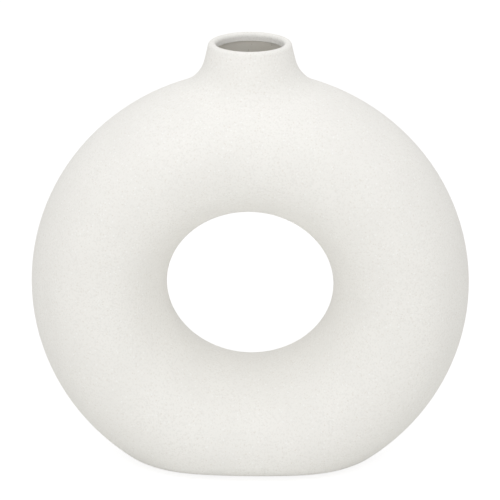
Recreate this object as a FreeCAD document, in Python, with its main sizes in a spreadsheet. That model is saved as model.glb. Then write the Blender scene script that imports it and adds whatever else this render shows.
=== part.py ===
import FreeCAD, Part
import math
import os

import Sketcher

# A donut vase: a hollow stoneware ring that stands on a flat foot, with a short flared neck on top.
# Its wall has three layers: a sandy matt coat outside, the cast clay, and a clear glaze inside that
# makes it hold water. Each layer is what is left of one closed form when a smaller one is taken out
# of it. The four forms are drawn alike, each set further in from the finished outside, so the
# layers stay even round every curve. Four small pads under the foot carry the vase.
# X runs to the right, Y to the back and Z up. The origin lies under the middle of the vase, on the
# surface that it stands on.

SIZES = {
    # The ring, over the coat
    "ring_width": 200.0,
    "tube_thickness": 61.8,
    "ring_depth": 80.0,
    "tube_end_radius": 25.5,
    # The neck and its mouth, over the coat
    "neck_height": 14.8,
    "neck_taper": 13.0,
    "flare_radius": 16.0,
    "mouth_bore": 30.0,
    "mouth_length": 3.7,
    "lip_width": 3.6,
    # The foot, whose plane cuts this much off the bottom of the ring
    "foot_cut": 18.5,
    "foot_round": 9.0,
    "foot_rim_width": 11.0,
    "recess_height": 1.2,
    "recess_round": 0.8,
    # The layers of the wall
    "coat_thickness": 0.35,
    "clay_thickness": 2.8,
    "floor_thickness": 4.5,
    "glaze_thickness": 0.3,
    "bare_foot_height": 1.2,
    # The pads
    "pad_width": 7.0,
    "pad_thickness": 1.0,
    "pad_round": 0.3,
    "pad_inset": 7.0,
    "pad_angle": 40.0,
}

# Places that follow from the sizes, as heights above the surface or distances from the ring's centre
FOOT_TO_CENTRE = "(Sizes.ring_width / 2 - Sizes.foot_cut)"
RING_CENTRE = f"Sizes.pad_thickness + {FOOT_TO_CENTRE}"
TUBE_CENTRE = "(Sizes.ring_width - Sizes.tube_thickness) / 2"
RIM = "Sizes.ring_width / 2 + Sizes.neck_height"

# The tube's section is an oval of four arcs: small ones at the front and back, and large ones
# towards the hole and away from it. Each arc's centre lies this far from the middle of the tube.
END_CENTRE = "(Sizes.ring_depth / 2 - Sizes.tube_end_radius)"
SIDE_ROOM = "(Sizes.tube_thickness / 2 - Sizes.tube_end_radius)"
SIDE_CENTRE = f"({END_CENTRE} ^ 2 - {SIDE_ROOM} ^ 2) / (2 * {SIDE_ROOM})"

# Half the length and depth of the oval in which the foot's plane cuts the ring
FOOT_HALF_LENGTH = f"sqrt((Sizes.ring_width / 2) ^ 2 - {FOOT_TO_CENTRE} ^ 2)"
FOOT_HALF_DEPTH = (
    f"{END_CENTRE} + sqrt(Sizes.tube_end_radius ^ 2 - ({FOOT_TO_CENTRE} - {TUBE_CENTRE}) ^ 2)"
)

# How far each form lies in from the finished outside
CLAY_INSET = "Sizes.coat_thickness"
HOLLOW_INSET = "Sizes.coat_thickness + Sizes.clay_thickness"
GLAZE_INSET = "Sizes.coat_thickness + Sizes.clay_thickness + Sizes.glaze_thickness"


def make_sheet(doc):
    sheet = doc.addObject("Spreadsheet::Sheet", "Sizes")
    for row, (name, value) in enumerate(SIZES.items(), start=1):
        sheet.set(f"A{row}", name)
        sheet.set(f"B{row}", str(value))
        sheet.setAlias(f"B{row}", name)
    doc.recompute()


def amount(owner, expression):
    """What an expression on the sheet comes to."""
    return float(owner.evalExpression(expression))


def new_sketch(body, name, role, height):
    """A sketch on one of the body's own planes, with its origin lifted to a height."""
    plane = next(item for item in body.Origin.OriginFeatures if item.Role == role)
    lift = {"XY_Plane": "z", "XZ_Plane": "y"}[role]
    sketch = body.newObject("Sketcher::SketchObject", name)
    sketch.AttachmentSupport = (plane, [""])
    sketch.MapMode = "FlatFace"
    sketch.setExpression(f"AttachmentOffset.Base.{lift}", height)
    return sketch


def dimension(sketch, name, expression, kind, *places):
    """A named dimension of a sketch that follows the sheet."""
    start = amount(sketch, expression)
    if kind == "Angle":
        start = math.radians(start)
    index = sketch.addConstraint(Sketcher.Constraint(kind, *places, start))
    sketch.renameConstraint(index, name)
    unit = " * 1 deg" if kind == "Angle" else ""
    sketch.setExpression(f"Constraints.{name}", f"({expression}){unit}")


def draw_ellipse(sketch, half_length, half_depth):
    """An ellipse about the sketch's origin, with its long axis along X."""
    long_end = FreeCAD.Vector(amount(sketch, half_length), 0, 0)
    short_end = FreeCAD.Vector(0, amount(sketch, half_depth), 0)
    sketch.addGeometry(Part.Ellipse(long_end, short_end, FreeCAD.Vector()))
    sketch.exposeInternalGeometry(0)
    ellipse, long_axis, short_axis = range(3)
    sketch.addConstraint(Sketcher.Constraint("Coincident", ellipse, 3, -1, 1))
    sketch.addConstraint(Sketcher.Constraint("Horizontal", long_axis))
    dimension(sketch, "length", f"2 * ({half_length})", "Distance", long_axis)
    dimension(sketch, "depth", f"2 * ({half_depth})", "Distance", short_axis)


def draw_disc(sketch, radius):
    """A circle about the sketch's origin."""
    sketch.addGeometry(Part.Circle(FreeCAD.Vector(), FreeCAD.Vector(0, 0, 1), amount(sketch, radius)))
    sketch.addConstraint(Sketcher.Constraint("Coincident", 0, 3, -1, 1))
    dimension(sketch, "radius", radius, "Radius", 0)


def join_ends(sketch, count):
    """Join a sketch's lines end to start, all the way round."""
    for index in range(count):
        sketch.addConstraint(Sketcher.Constraint("Coincident", index, 2, (index + 1) % count, 1))


def revolve(body, name, sketch):
    turned = body.newObject("PartDesign::Revolution", name)
    turned.Profile = (sketch, [""])
    turned.ReferenceAxis = (sketch, ["V_Axis"])
    turned.Angle = 360
    body.Document.recompute()
    return turned


def cut_away_below(body, name, height):
    """Take away all of the body that lies below a height."""
    sketch = new_sketch(body, f"{name}_outline", "XY_Plane", height)
    draw_disc(sketch, "Sizes.ring_width")
    pocket = body.newObject("PartDesign::Pocket", name)
    pocket.Profile = (sketch, [""])
    pocket.Type = "ThroughAll"
    body.Document.recompute()
    return pocket


def round_edges(body, name, feature, low, high, radius):
    """Round the edges of a feature that lie wholly between two heights."""
    bottom, top = amount(body, low), amount(body, high)
    names = [
        f"Edge{number}"
        for number, edge in enumerate(feature.Shape.Edges, start=1)
        if edge.BoundBox.ZMin > bottom and edge.BoundBox.ZMax < top
    ]
    fillet = body.newObject("PartDesign::Fillet", name)
    fillet.Base = (feature, names)
    fillet.setExpression("Radius", radius)
    body.Document.recompute()
    return fillet


def add_ring(body, inset):
    """The ring: the tube's oval, drawn level at the right and turned about the ring's axis."""
    section = new_sketch(body, "tube_section", "XY_Plane", RING_CENTRE)
    middle, end_out = amount(section, TUBE_CENTRE), amount(section, END_CENTRE)
    side_out = amount(section, SIDE_CENTRE)
    end_radius = amount(section, f"Sizes.tube_end_radius - ({inset})")
    side_radius = end_radius + math.hypot(end_out, side_out)
    turn = math.atan2(end_out, side_out)
    arcs = [
        (middle - side_out, 0, side_radius, -turn, turn),
        (middle, end_out, end_radius, turn, math.pi - turn),
        (middle + side_out, 0, side_radius, math.pi - turn, math.pi + turn),
        (middle, -end_out, end_radius, math.pi + turn, 2 * math.pi - turn),
    ]
    for x, y, radius, start, end in arcs:
        circle = Part.Circle(FreeCAD.Vector(x, y, 0), FreeCAD.Vector(0, 0, 1), radius)
        section.addGeometry(Part.ArcOfCircle(circle, start, end))
    outer, back, inner, front = range(4)
    for first, then in ((outer, back), (back, inner), (inner, front), (front, outer)):
        section.addConstraint(Sketcher.Constraint("Tangent", first, 2, then, 1))
    section.addConstraint(Sketcher.Constraint("Equal", back, front))
    section.addConstraint(Sketcher.Constraint("Equal", outer, inner))
    section.addConstraint(Sketcher.Constraint("Vertical", back, 3, front, 3))
    dimension(section, "tube_centre", TUBE_CENTRE, "DistanceX", -1, 1, back, 3)
    dimension(section, "back_centre", END_CENTRE, "DistanceY", -1, 1, back, 3)
    dimension(section, "front_centre", END_CENTRE, "DistanceY", front, 3, -1, 1)
    dimension(section, "side_centre", SIDE_CENTRE, "DistanceX", outer, 3, back, 3)
    dimension(section, "end_radius", f"Sizes.tube_end_radius - ({inset})", "Radius", back)
    return revolve(body, "ring", section)


def add_foot(body, inset, foot_height):
    """The flat foot, with a soft edge all round."""
    foot = cut_away_below(body, "foot", foot_height)
    low, high = "-Sizes.ring_width", f"{foot_height} + Sizes.foot_round"
    return round_edges(body, "foot_edge", foot, low, high, f"Sizes.foot_round - ({inset})")


def add_lipped_neck(body, inset):
    """The neck's cone, closed by a fully round lip, with the straight mouth sunk into its top."""
    profile = new_sketch(body, "neck_profile", "XZ_Plane", RING_CENTRE)
    lip_out = "(Sizes.mouth_bore + Sizes.lip_width) / 2"
    lip_up = f"{RIM} - Sizes.lip_width / 2"
    lip_radius = f"Sizes.lip_width / 2 - ({inset})"
    mouth_floor = f"{RIM} - Sizes.mouth_length"
    out, up, radius = (amount(profile, size) for size in (lip_out, lip_up, lip_radius))
    bottom, floor = amount(profile, TUBE_CENTRE), amount(profile, mouth_floor)
    lean = math.radians(amount(profile, "Sizes.neck_taper"))

    lip_centre = FreeCAD.Vector(out, up, 0)
    outer = lip_centre + radius * FreeCAD.Vector(math.cos(lean), math.sin(lean), 0)
    crest = lip_centre + FreeCAD.Vector(0, radius, 0)
    inner = lip_centre - FreeCAD.Vector(radius, 0, 0)
    skirt = FreeCAD.Vector(outer.x + (outer.y - bottom) * math.tan(lean), bottom, 0)
    outline = [
        Part.LineSegment(FreeCAD.Vector(0, bottom, 0), skirt),
        Part.LineSegment(skirt, outer),
        Part.Arc(outer, crest, inner),
        Part.LineSegment(inner, FreeCAD.Vector(inner.x, floor, 0)),
        Part.LineSegment(FreeCAD.Vector(inner.x, floor, 0), FreeCAD.Vector(0, floor, 0)),
        Part.LineSegment(FreeCAD.Vector(0, floor, 0), FreeCAD.Vector(0, bottom, 0)),
    ]
    base, cone, lip, mouth, mouth_end, axis = range(6)
    profile.addGeometry(outline)
    for line, kind in ((base, "Horizontal"), (mouth, "Vertical"), (mouth_end, "Horizontal")):
        profile.addConstraint(Sketcher.Constraint(kind, line))
    for first, then in ((base, cone), (mouth, mouth_end), (mouth_end, axis), (axis, base)):
        profile.addConstraint(Sketcher.Constraint("Coincident", first, 2, then, 1))
    profile.addConstraint(Sketcher.Constraint("Tangent", cone, 2, lip, 1))
    profile.addConstraint(Sketcher.Constraint("Tangent", lip, 2, mouth, 1))
    profile.addConstraint(Sketcher.Constraint("PointOnObject", base, 1, -2))
    profile.addConstraint(Sketcher.Constraint("PointOnObject", axis, 1, -2))
    dimension(profile, "bottom", TUBE_CENTRE, "DistanceY", -1, 1, base, 1)
    dimension(profile, "cone_lean", "90 + Sizes.neck_taper", "Angle", cone)
    dimension(profile, "lip_radius", lip_radius, "Radius", lip)
    dimension(profile, "lip_out", lip_out, "DistanceX", -1, 1, lip, 3)
    dimension(profile, "lip_up", lip_up, "DistanceY", -1, 1, lip, 3)
    dimension(profile, "mouth_floor", mouth_floor, "DistanceY", -1, 1, axis, 1)
    return revolve(body, "neck", profile)


def add_throat(body, inset):
    """The hollow of the neck, which widens downwards from the end of the straight mouth."""
    profile = new_sketch(body, "throat_profile", "XZ_Plane", RING_CENTRE)
    top = f"{RIM} - Sizes.mouth_length"
    lip_out = "(Sizes.mouth_bore + Sizes.lip_width) / 2"
    wall = f"(Sizes.lip_width / 2 - ({inset})) / cos(Sizes.neck_taper)"
    widening = "(Sizes.mouth_length - Sizes.lip_width / 2) * tan(Sizes.neck_taper)"
    top_radius = f"{lip_out} + {wall} + {widening}"
    high, narrow = amount(profile, top), amount(profile, top_radius)
    low = amount(profile, TUBE_CENTRE)
    wide = narrow + (high - low) * math.tan(math.radians(amount(profile, "Sizes.neck_taper")))
    corners = [
        FreeCAD.Vector(0, low, 0),
        FreeCAD.Vector(wide, low, 0),
        FreeCAD.Vector(narrow, high, 0),
        FreeCAD.Vector(0, high, 0),
    ]
    ends = corners[1:] + corners[:1]
    profile.addGeometry([Part.LineSegment(start, end) for start, end in zip(corners, ends)])
    base, cone, lid, axis = range(4)
    join_ends(profile, 4)
    profile.addConstraint(Sketcher.Constraint("Horizontal", base))
    profile.addConstraint(Sketcher.Constraint("Horizontal", lid))
    profile.addConstraint(Sketcher.Constraint("PointOnObject", base, 1, -2))
    profile.addConstraint(Sketcher.Constraint("PointOnObject", axis, 1, -2))
    dimension(profile, "bottom", TUBE_CENTRE, "DistanceY", -1, 1, base, 1)
    dimension(profile, "top", top, "DistanceY", -1, 1, axis, 1)
    dimension(profile, "top_radius", top_radius, "DistanceX", lid, 2, lid, 1)
    dimension(profile, "cone_lean", "90 + Sizes.neck_taper", "Angle", cone)
    return revolve(body, "throat", profile)


def add_flare(body, neck, inset):
    """The hollow curve that leads from the neck into the ring."""
    low = f"{RING_CENTRE} + {TUBE_CENTRE}"
    high = f"{RING_CENTRE} + {RIM} - Sizes.mouth_length - Sizes.lip_width / 2"
    return round_edges(body, "flare", neck, low, high, f"Sizes.flare_radius + {inset}")


def make_coat_form(doc):
    """The finished outside, down to the line where the coat stops above the foot."""
    body = doc.addObject("PartDesign::Body", "coat_form")
    add_ring(body, "0")
    add_foot(body, "0", "Sizes.pad_thickness")
    cut_away_below(body, "coat_edge", "Sizes.pad_thickness + Sizes.bare_foot_height")
    neck = add_lipped_neck(body, "0")
    add_flare(body, neck, "0")
    return body


def make_clay_form(doc):
    """The outside of the clay, with the shallow recess that leaves a foot rim to stand on."""
    body = doc.addObject("PartDesign::Body", "clay_form")
    add_ring(body, CLAY_INSET)
    add_foot(body, "0", "Sizes.pad_thickness")

    outline = new_sketch(body, "recess_outline", "XY_Plane", "Sizes.pad_thickness")
    half_length = f"{FOOT_HALF_LENGTH} - Sizes.foot_rim_width"
    half_depth = f"{FOOT_HALF_DEPTH} - Sizes.foot_rim_width"
    draw_ellipse(outline, half_length, half_depth)
    recess = body.newObject("PartDesign::Pocket", "recess")
    recess.Profile = (outline, [""])
    recess.setExpression("Length", "Sizes.recess_height")
    recess.Reversed = True
    doc.recompute()
    low = "Sizes.pad_thickness + Sizes.recess_height / 2"
    high = "Sizes.pad_thickness + Sizes.recess_height * 3 / 2"
    round_edges(body, "recess_edge", recess, low, high, "Sizes.recess_round")

    neck = add_lipped_neck(body, CLAY_INSET)
    add_flare(body, neck, CLAY_INSET)
    return body


def make_hollow_form(doc, name, inset, floor_height):
    """A form for the space inside, up to the end of the straight mouth."""
    body = doc.addObject("PartDesign::Body", name)
    add_ring(body, inset)
    add_foot(body, inset, floor_height)
    throat = add_throat(body, inset)
    add_flare(body, throat, inset)
    return body


def make_layer(doc, name, outside, inside):
    """What is left of one form when a smaller one is taken out of it."""
    layer = doc.addObject("Part::Cut", name)
    layer.Base = outside
    layer.Tool = inside
    layer.Label = name
    return layer


def make_pad(doc, name, side_x, side_y):
    """A round pad stuck to the foot's rim, with its lower edge softened."""
    body = doc.addObject("PartDesign::Body", name)
    body.Label = name
    outline = new_sketch(body, "pad_outline", "XY_Plane", "0")
    draw_disc(outline, "Sizes.pad_width / 2")
    pad = body.newObject("PartDesign::Pad", "pad")
    pad.Profile = (outline, [""])
    pad.setExpression("Length", "Sizes.pad_thickness")
    doc.recompute()
    low, high = "-Sizes.pad_thickness", "Sizes.pad_thickness / 2"
    round_edges(body, "pad_edge", pad, low, high, "Sizes.pad_round")
    reach_x = f"({FOOT_HALF_LENGTH} - Sizes.pad_inset) * cos(Sizes.pad_angle)"
    reach_y = f"({FOOT_HALF_DEPTH} - Sizes.pad_inset) * sin(Sizes.pad_angle)"
    body.setExpression("Placement.Base.x", f"{side_x} * {reach_x}")
    body.setExpression("Placement.Base.y", f"{side_y} * {reach_y}")
    return body


def make_vase(doc):
    """All sub-parts, outermost first."""
    hollow_floor = "Sizes.pad_thickness + Sizes.floor_thickness"
    coat_form = make_coat_form(doc)
    clay_form = make_clay_form(doc)
    hollow_form = make_hollow_form(doc, "hollow_form", HOLLOW_INSET, hollow_floor)
    glaze_floor = f"{hollow_floor} + Sizes.glaze_thickness"
    water_form = make_hollow_form(doc, "water_form", GLAZE_INSET, glaze_floor)
    parts = [
        make_layer(doc, "outer_coat", coat_form, clay_form),
        make_layer(doc, "stoneware_body", clay_form, hollow_form),
        make_layer(doc, "inner_glaze", hollow_form, water_form),
    ]
    for side_y, row in ((-1, "front"), (1, "back")):
        for side_x, side in ((-1, "left"), (1, "right")):
            parts.append(make_pad(doc, f"foot_pad_{row}_{side}", side_x, side_y))
    doc.recompute()
    return parts


def check(doc, parts):
    """Stop if any feature failed or any sub-part isn't one sound solid."""
    for item in doc.Objects:
        if "Invalid" in item.State or "Error" in item.State:
            raise RuntimeError(f"{item.Label} failed: {item.State}")
    for part in parts:
        if part.Shape.isNull() or not part.Shape.isValid() or len(part.Shape.Solids) != 1:
            raise RuntimeError(f"{part.Label} is not one valid solid")


def main():
    doc = FreeCAD.newDocument("donut_vase")
    make_sheet(doc)
    parts = make_vase(doc)
    check(doc, parts)
    os.makedirs("parts", exist_ok=True)
    for part in parts:
        part.Shape.exportStep(f"parts/{part.Label}.step")
        box = part.Shape.BoundBox
        print(
            f"{part.Label}: {part.Shape.Volume:.0f} mm3, x {box.XMin:.2f} to {box.XMax:.2f},"
            f" y {box.YMin:.2f} to {box.YMax:.2f}, z {box.ZMin:.2f} to {box.ZMax:.2f}"
        )


main()
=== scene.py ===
import math

import bpy
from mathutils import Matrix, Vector

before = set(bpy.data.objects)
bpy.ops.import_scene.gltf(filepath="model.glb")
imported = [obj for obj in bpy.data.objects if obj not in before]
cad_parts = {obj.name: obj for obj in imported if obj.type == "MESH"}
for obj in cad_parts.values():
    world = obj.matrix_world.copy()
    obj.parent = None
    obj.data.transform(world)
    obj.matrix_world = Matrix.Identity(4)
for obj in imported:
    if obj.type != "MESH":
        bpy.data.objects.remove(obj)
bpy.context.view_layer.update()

# The camera
# A long lens, a little above the vase and almost straight in front of it, as the photograph
# was taken. It stands on a line through the middle of the ring and is tipped a touch less.
ring_centre = Vector((0, 0, 0.0825))
camera_distance = 1.0
camera_turn = math.radians(1.39)
camera_rise = math.radians(21.7)
camera_pitch = math.radians(20.8)

camera_data = bpy.data.cameras.new("camera")
camera_data.sensor_width = 36
camera_data.lens = 157.0
camera = bpy.data.objects.new("camera", camera_data)
bpy.context.scene.collection.objects.link(camera)
camera.location = ring_centre + camera_distance * Vector((
    math.sin(camera_turn) * math.cos(camera_rise),
    -math.cos(camera_turn) * math.cos(camera_rise),
    math.sin(camera_rise),
))
camera.rotation_euler = (math.pi / 2 - camera_pitch, 0, camera_turn)
bpy.context.scene.camera = camera
bpy.context.scene.view_settings.view_transform = "Standard"


# The floor
# One large sheet of white studio paper that runs past the picture on every side. It looks plain
# white to the camera, but for a faint soft shadow under the vase.
def linear(hex_colour):
    """An sRGB hex colour as the linear colour that a socket takes."""
    colour = []
    for place in (1, 3, 5):
        part = int(hex_colour[place:place + 2], 16) / 255
        colour.append(part / 12.92 if part <= 0.04045 else ((part + 0.055) / 1.055) ** 2.4)
    return colour + [1]


def add_node(tree, kind, settings=None, inputs=None, links=None):
    """A new node with its settings, its inputs' values, and its inputs' links to other outputs."""
    node = tree.nodes.new(kind)
    for name, value in (settings or {}).items():
        setattr(node, name, value)
    for name, value in (inputs or {}).items():
        node.inputs[name].default_value = value
    for name, output in (links or {}).items():
        tree.links.new(output, node.inputs[name])
    return node


def new_material(name):
    """A material with only its output node, and its node tree."""
    material = bpy.data.materials.new(name)
    material.use_nodes = True
    tree = material.node_tree
    tree.nodes.remove(tree.nodes["Principled BSDF"])
    return material, tree, tree.nodes["Material Output"]


def add_background_mask(tree):
    """1 for a ray that shows the background: the camera's, a reflection's or one through glass."""
    ray = add_node(tree, "ShaderNodeLightPath")
    bounced = add_node(tree, "ShaderNodeMath", {"operation": "MAXIMUM"}, links={
        0: ray.outputs["Is Glossy Ray"],
        1: ray.outputs["Is Transmission Ray"],
    })
    mask = add_node(tree, "ShaderNodeMath", {"operation": "MAXIMUM"}, links={
        0: ray.outputs["Is Camera Ray"],
        1: bounced.outputs["Value"],
    })
    return mask.outputs["Value"]


floor_width = 12.0
# The paper lies a tenth of a millimetre under the pads, so that the two faces don't coincide.
floor_drop = 0.0001
paper_glow = 0.88

bpy.ops.object.select_all(action="DESELECT")
bpy.ops.mesh.primitive_plane_add(size=floor_width, location=(0, 0, -floor_drop))
floor = bpy.context.object
floor.name = "floor"

# Seen by the camera or in a reflection, the paper is mostly its own even glow, and the light that
# falls on it adds the rest. So the open paper is plain white and the shadow stays soft and faint.
paper, tree, output = new_material("white_studio_paper")
sheet = add_node(tree, "ShaderNodeBsdfDiffuse", inputs={"Color": linear("#EEEEEC")})
lit_part = add_node(tree, "ShaderNodeBsdfDiffuse", inputs={"Color": linear("#828282")})
glow = add_node(tree, "ShaderNodeEmission", inputs={"Color": linear("#FFFFFF"), "Strength": paper_glow})
seen = add_node(tree, "ShaderNodeAddShader", links={0: lit_part.outputs[0], 1: glow.outputs[0]})
surface = add_node(tree, "ShaderNodeMixShader", links={
    0: add_background_mask(tree),
    1: sheet.outputs[0],
    2: seen.outputs[0],
})
tree.links.new(surface.outputs[0], output.inputs["Surface"])
floor.data.materials.append(paper)


# The studio light
# A white room with three softboxes: a wide one overhead, and two small ones close in front, high
# and low. Being close, they light the slopes round the ring's hole and let its flanks darken.
room_strength = 0.665
# A strength of 1 is plain white.
white_strength = 1.0

world = bpy.data.worlds.new("white_room")
bpy.context.scene.world = world
world.use_nodes = True
tree = world.node_tree
room_light = add_node(tree, "ShaderNodeBackground",
                      inputs={"Color": linear("#FFFEFC"), "Strength": room_strength})
room_seen = add_node(tree, "ShaderNodeBackground",
                     inputs={"Color": linear("#FFFFFF"), "Strength": white_strength})
room = add_node(tree, "ShaderNodeMixShader", links={
    0: add_background_mask(tree),
    1: room_light.outputs[0],
    2: room_seen.outputs[0],
})
tree.links.new(room.outputs[0], tree.nodes["World Output"].inputs["Surface"])


def add_softbox(name, place, width, power):
    """A square softbox that faces the middle of the ring and stays out of the picture."""
    data = bpy.data.lights.new(name, "AREA")
    data.size = width
    data.energy = power
    softbox = bpy.data.objects.new(name, data)
    bpy.context.scene.collection.objects.link(softbox)
    softbox.location = place
    softbox.visible_camera = False
    softbox.rotation_euler = (ring_centre - Vector(place)).to_track_quat("-Z", "Y").to_euler()


add_softbox("softbox_overhead", place=(-0.1, 0, 2.2), width=2.0, power=7.6)
add_softbox("softbox_front_high", place=(-0.04, -0.6, 0.75), width=0.5, power=1.12)
add_softbox("softbox_front_low", place=(-0.04, -0.75, 0.40), width=0.4, power=0.5)


# The stoneware body
# The ring, neck and foot in one piece of slip-cast stoneware. It is fired hard and left bare
# under the foot, where it is buff and dry. Its colour and relief come from the fired clay alone.
def add_dots(tree, place, spacing, radius, share):
    """A mask of round dots: cells this far apart in metres, of which a share holds a dot."""
    # Each dot is full up to half its radius and fades out a little beyond it.
    full_until = 0.5 * radius
    gone_at = 1.4 * radius
    cells = add_node(tree, "ShaderNodeTexVoronoi", inputs={"Scale": 1 / spacing},
                     links={"Vector": place})
    round_dots = add_node(tree, "ShaderNodeMapRange", {"interpolation_type": "SMOOTHSTEP"}, {
        "From Min": full_until / spacing,
        "From Max": gone_at / spacing,
        "To Min": 1.0,
        "To Max": 0.0,
    }, {"Value": cells.outputs["Distance"]})
    chance = add_node(tree, "ShaderNodeSeparateColor", links={"Color": cells.outputs["Color"]})
    chosen = add_node(tree, "ShaderNodeMath", {"operation": "LESS_THAN"}, {1: share},
                      {0: chance.outputs["Red"]})
    mask = add_node(tree, "ShaderNodeMath", {"operation": "MULTIPLY"}, links={
        0: round_dots.outputs["Result"],
        1: chosen.outputs["Value"],
    })
    return mask.outputs["Value"]


# The sockets of a Mix node that mixes colours share their names with others, so they go by
# number: how much the upper colour covers the lower one, the two colours, and the result.
cover = 0
lower = 6
upper = 7
mixed = 2

clay, tree, output = new_material("bare_stoneware")
place = add_node(tree, "ShaderNodeTexCoord").outputs["Object"]

# Blotches of 12 mm: the kiln's flame leaves the bare clay a little unevenly toasted.
blotch_size = 0.012
blotches = add_node(tree, "ShaderNodeTexNoise", inputs={"Scale": 1 / blotch_size, "Detail": 3.0},
                    links={"Vector": place})
toasting = add_node(tree, "ShaderNodeMapRange", inputs={"From Min": 0.3, "From Max": 0.7},
                    links={"Value": blotches.outputs["Fac"]})
toasted = add_node(tree, "ShaderNodeMix", {"data_type": "RGBA"}, {
    lower: linear("#C9BBA2"),
    upper: linear("#DCD2BF"),
}, {cover: toasting.outputs["Result"]})
# Iron specks of 0.6 mm, which burn out of the clay as small brown freckles.
freckled = add_node(tree, "ShaderNodeMix", {"data_type": "RGBA"}, {upper: linear("#7D6650")}, {
    cover: add_dots(tree, place, spacing=0.0016, radius=0.0003, share=0.6),
    lower: toasted.outputs[mixed],
})
# Grit of 0.5 mm: the dry, open surface of unglazed clay.
grit_size = 0.0005
grit = add_node(tree, "ShaderNodeTexNoise", inputs={"Scale": 1 / grit_size, "Detail": 2.0},
                links={"Vector": place})
gritty = add_node(tree, "ShaderNodeBump", inputs={"Strength": 0.6, "Distance": 0.0001},
                  links={"Height": grit.outputs["Fac"]})
shader = add_node(tree, "ShaderNodeBsdfPrincipled", inputs={"Roughness": 0.85, "IOR": 1.5}, links={
    "Base Color": freckled.outputs[mixed],
    "Normal": gritty.outputs["Normal"],
})
tree.links.new(shader.outputs[0], output.inputs["Surface"])
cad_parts["stoneware_body"].material_slots[0].material = clay


# The outer coat
# A matt white slip with fine sand in it, sprayed over the whole outside and round the lip.
# The sand makes it dry and faintly grainy, with small darker dots. Painted shade darkens the
# grain's dips, and pale dots are painted highlights.
coat, tree, output = new_material("sandy_matt_slip")
place = add_node(tree, "ShaderNodeTexCoord").outputs["Object"]

# Cloudy patches of 22 mm, barely darker: the slip went on in several passes and dried unevenly.
cloud_size = 0.022
clouds = add_node(tree, "ShaderNodeTexNoise", inputs={"Scale": 1 / cloud_size, "Detail": 2.0},
                  links={"Vector": place})
clouding = add_node(tree, "ShaderNodeMapRange", inputs={"From Min": 0.3, "From Max": 0.7},
                    links={"Value": clouds.outputs["Fac"]})
clouded = add_node(tree, "ShaderNodeMix", {"data_type": "RGBA"}, {
    lower: linear("#F6F5F2"),
    upper: linear("#F9F8F5"),
}, {cover: clouding.outputs["Result"]})
# Grain of 0.9 mm all over, with painted shade where its relief dips. The sand itself is finer
# than the render can show, so the grain is drawn coarser than it is.
grain_size = 0.0009
grain = add_node(tree, "ShaderNodeTexNoise", inputs={"Scale": 1 / grain_size, "Detail": 1.0},
                 links={"Vector": place})
# Painted shade: the colour darkens where the grain's relief dips, on the bump's own noise.
painted_dip_shade = add_node(tree, "ShaderNodeMapRange", inputs={"From Min": 0.5, "From Max": 0.35},
                links={"Value": grain.outputs["Fac"]})
grain_with_painted_shade = add_node(tree, "ShaderNodeMix", {"data_type": "RGBA"}, {upper: linear("#F3F2EF")}, {
    cover: painted_dip_shade.outputs["Result"],
    lower: clouded.outputs[mixed],
})
# Dots of about 0.6 mm, a bit darker: bigger grains that show through the slip.
specked = add_node(tree, "ShaderNodeMix", {"data_type": "RGBA"}, {upper: linear("#F1EFEB")}, {
    cover: add_dots(tree, place, spacing=0.0012, radius=0.00032, share=0.7),
    lower: grain_with_painted_shade.outputs[mixed],
})
# A few dots of 0.7 mm that are clearly darker, and as many pale ones that are painted highlights.
dark_specked = add_node(tree, "ShaderNodeMix", {"data_type": "RGBA"}, {upper: linear("#EEEBE6")}, {
    cover: add_dots(tree, place, spacing=0.0021, radius=0.00034, share=0.5),
    lower: specked.outputs[mixed],
})
# Painted highlights: pale dots that stand in for sand grains glinting.
specked_with_painted_glints = add_node(tree, "ShaderNodeMix", {"data_type": "RGBA"}, {upper: linear("#FDFDFB")}, {
    cover: add_dots(tree, place, spacing=0.0019, radius=0.00036, share=0.5),
    lower: dark_specked.outputs[mixed],
})
# Relief of a twentieth of a millimetre on the same grain: the dry, sandy touch.
relief = add_node(tree, "ShaderNodeBump", inputs={"Strength": 0.5, "Distance": 0.00005},
                  links={"Height": grain.outputs["Fac"]})
shader = add_node(tree, "ShaderNodeBsdfPrincipled", inputs={"Roughness": 0.9, "IOR": 1.5}, links={
    "Base Color": specked_with_painted_glints.outputs[mixed],
    "Normal": relief.outputs["Normal"],
})
tree.links.new(shader.outputs[0], output.inputs["Surface"])
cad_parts["outer_coat"].material_slots[0].material = coat


# The inner glaze
# A clear gloss glaze poured through the hollow and out again. The pale clay shows through it,
# under a smooth wet-looking skin.
glaze, tree, output = new_material("clear_gloss_glaze")
place = add_node(tree, "ShaderNodeTexCoord").outputs["Object"]

# Clouds of 9 mm: the glaze is thicker in some places, where the clay looks a little deeper.
pool_size = 0.009
pools = add_node(tree, "ShaderNodeTexNoise", inputs={"Scale": 1 / pool_size, "Detail": 2.0},
                 links={"Vector": place})
pooling = add_node(tree, "ShaderNodeMapRange", inputs={"From Min": 0.3, "From Max": 0.7},
                   links={"Value": pools.outputs["Fac"]})
pooled = add_node(tree, "ShaderNodeMix", {"data_type": "RGBA"}, {
    lower: linear("#F9F5EC"),
    upper: linear("#FDFAF3"),
}, {cover: pooling.outputs["Result"]})
# Clay specks of 0.5 mm, seen under the glaze.
speckled = add_node(tree, "ShaderNodeMix", {"data_type": "RGBA"}, {upper: linear("#DDD6C9")}, {
    cover: add_dots(tree, place, spacing=0.0022, radius=0.00025, share=0.5),
    lower: pooled.outputs[mixed],
})
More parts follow.
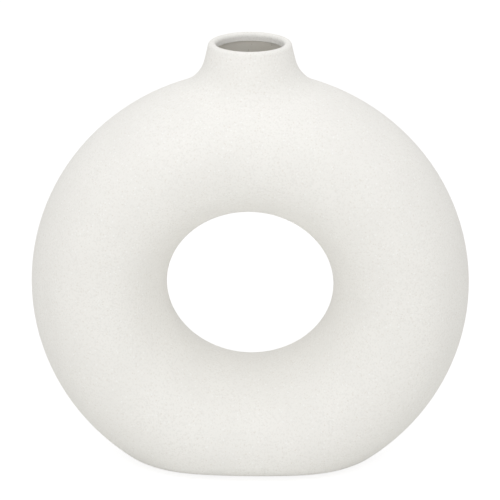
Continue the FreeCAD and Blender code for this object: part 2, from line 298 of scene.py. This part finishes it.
# Waves of 6 mm and a fiftieth of a millimetre: a poured glaze never runs out quite even.
wave_size = 0.006
waves = add_node(tree, "ShaderNodeTexNoise", inputs={"Scale": 1 / wave_size, "Detail": 1.0},
                 links={"Vector": place})
wavy = add_node(tree, "ShaderNodeBump", inputs={"Strength": 0.5, "Distance": 0.00002},
                links={"Height": waves.outputs["Fac"]})
shader = add_node(tree, "ShaderNodeBsdfPrincipled", inputs={"Roughness": 0.18, "IOR": 1.5}, links={
    "Base Color": speckled.outputs[mixed],
    "Normal": wavy.outputs["Normal"],
})
tree.links.new(shader.outputs[0], output.inputs["Surface"])
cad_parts["inner_glaze"].material_slots[0].material = glaze


# The foot pads
# Four small discs punched from a sheet of soft grey rubber, stuck to the foot's rim so that the
# vase doesn't scratch what it stands on.
rubber, tree, output = new_material("soft_grey_rubber")
place = add_node(tree, "ShaderNodeTexCoord").outputs["Object"]

# Patches of 2 mm: dust from the shelf clings to the rubber and greys it unevenly.
dust_size = 0.002
dust = add_node(tree, "ShaderNodeTexNoise", inputs={"Scale": 1 / dust_size, "Detail": 3.0},
                links={"Vector": place})
dusting = add_node(tree, "ShaderNodeMapRange", inputs={"From Min": 0.35, "From Max": 0.65},
                   links={"Value": dust.outputs["Fac"]})
dusty = add_node(tree, "ShaderNodeMix", {"data_type": "RGBA"}, {
    lower: linear("#9C9B97"),
    upper: linear("#AEADA8"),
}, {cover: dusting.outputs["Result"]})
# Pores of 0.3 mm: the matt skin of a punched rubber sheet.
pore_size = 0.0003
pores = add_node(tree, "ShaderNodeTexNoise", inputs={"Scale": 1 / pore_size, "Detail": 1.0},
                 links={"Vector": place})
porous = add_node(tree, "ShaderNodeBump", inputs={"Strength": 0.4, "Distance": 0.00004},
                  links={"Height": pores.outputs["Fac"]})
shader = add_node(tree, "ShaderNodeBsdfPrincipled", inputs={"Roughness": 0.6, "IOR": 1.5}, links={
    "Base Color": dusty.outputs[mixed],
    "Normal": porous.outputs["Normal"],
})
tree.links.new(shader.outputs[0], output.inputs["Surface"])
for side in ("front_left", "front_right", "back_left", "back_right"):
    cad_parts[f"foot_pad_{side}"].material_slots[0].material = rubber
